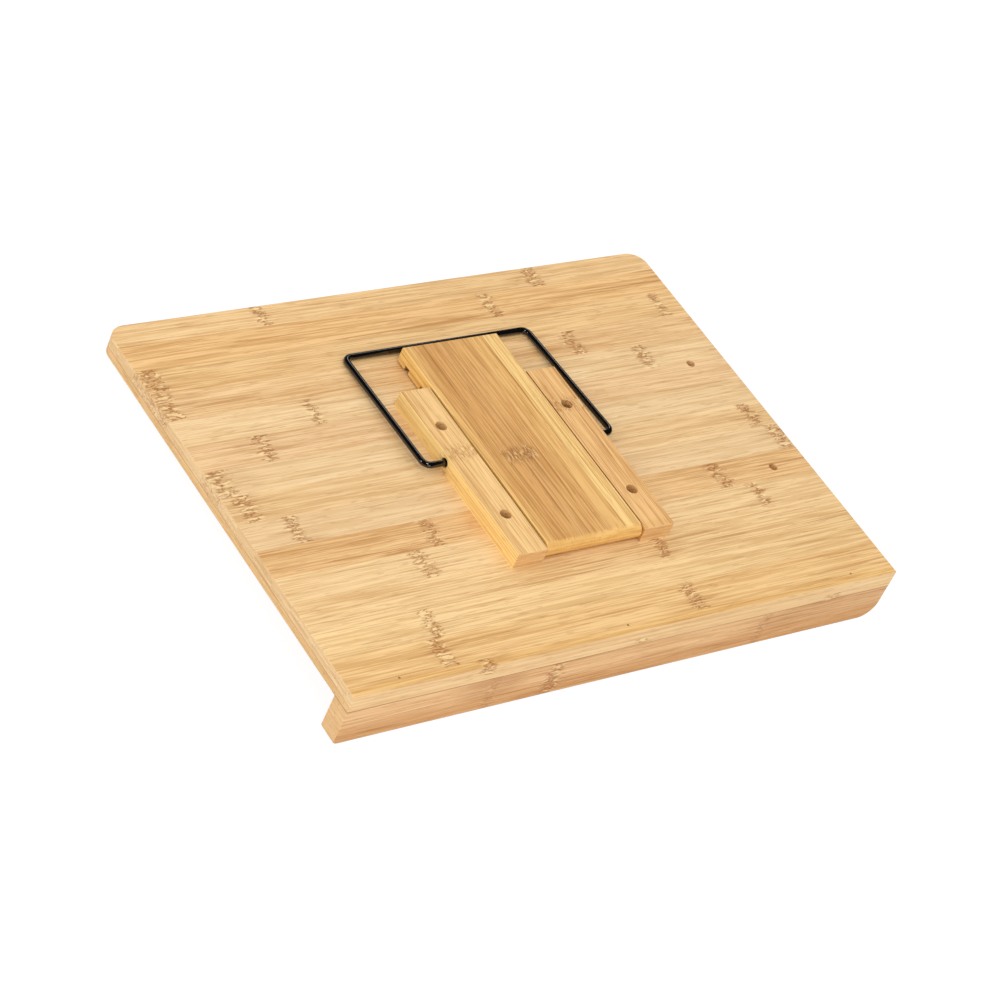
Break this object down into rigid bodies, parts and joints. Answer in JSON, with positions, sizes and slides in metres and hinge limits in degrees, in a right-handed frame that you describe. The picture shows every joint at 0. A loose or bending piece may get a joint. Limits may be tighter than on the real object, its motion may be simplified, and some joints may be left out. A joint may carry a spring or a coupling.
{
  "type": "folding bamboo book stand",
  "caption": "Folding bamboo bible stand: stave board with a book ledge, screwed rails, a hinged foot with grooves and a black wire bail, folded flat.",
  "frame": {"origin": "under the middle of the outline, level with the free edge of the book ledge", "axes": "+X along the ledge, to the right seen from the back with the ledge nearest; +Y from the ledge to the top edge of the board; +Z out of the back of the board"},
  "size_m": [0.34, 0.2484, 0.0424],
  "materials": {
    "board_bamboo": "clear satin lacquer on pressed bamboo staves",
    "ledge_bamboo": "clear satin lacquer on bamboo, slightly pinker",
    "rail_bamboo": "sanded bamboo, clear satin lacquer",
    "foot_bamboo": "golden bamboo with fine lengthwise lines, satin",
    "black_paint": "glossy black paint on steel wire",
    "dark_steel": "dark blackened screw steel",
    "steel": "plain zinc-grey steel"
  },
  "bodies": {
    "board": {"front_stave_01": "board_bamboo", "front_stave_02": "board_bamboo", "front_stave_03": "board_bamboo", "front_stave_04": "board_bamboo", "front_stave_05": "board_bamboo", "front_stave_06": "board_bamboo", "front_stave_07": "board_bamboo", "front_stave_08": "board_bamboo", "front_stave_09": "board_bamboo", "front_stave_10": "board_bamboo", "front_stave_11": "board_bamboo", "front_stave_12": "board_bamboo", "front_stave_13": "board_bamboo", "front_stave_14": "board_bamboo", "front_stave_15": "board_bamboo", "back_stave_01": "board_bamboo", "back_stave_02": "board_bamboo", "back_stave_03": "board_bamboo", "back_stave_04": "board_bamboo", "back_stave_05": "board_bamboo", "back_stave_06": "board_bamboo", "back_stave_07": "board_bamboo", "back_stave_08": "board_bamboo", "back_stave_09": "board_bamboo", "back_stave_10": "board_bamboo", "back_stave_11": "board_bamboo", "back_stave_12": "board_bamboo", "back_stave_13": "board_bamboo", "back_stave_14": "board_bamboo", "back_stave_15": "board_bamboo", "ledge_outer_lamella": "ledge_bamboo", "ledge_inner_lamella": "ledge_bamboo", "ledge_brad_1": "steel", "ledge_brad_2": "steel", "ledge_brad_3": "steel", "rail_left": "rail_bamboo", "rail_right": "rail_bamboo", "rail_screw_1": "dark_steel", "rail_screw_2": "dark_steel", "rail_screw_3": "dark_steel", "rail_screw_4": "dark_steel"},
    "foot": {"foot_plate": "foot_bamboo", "foot_pin_left": "steel", "foot_pin_right": "steel"},
    "bail": {"wire_bail": "black_paint"}
  },
  "joints": [
    {"name": "foot_hinge", "type": "hinge", "parent": "board", "child": "foot", "pos_m": [0.0039, -0.06615, 0.0377], "axis": [1, 0, 0], "range_deg": [0, 180]},
    {"name": "bail_hinge", "type": "hinge", "parent": "board", "child": "bail", "pos_m": [0.0024, -0.00315, 0.0378], "axis": [1, 0, 0], "range_deg": [0, 176]}
  ]
}
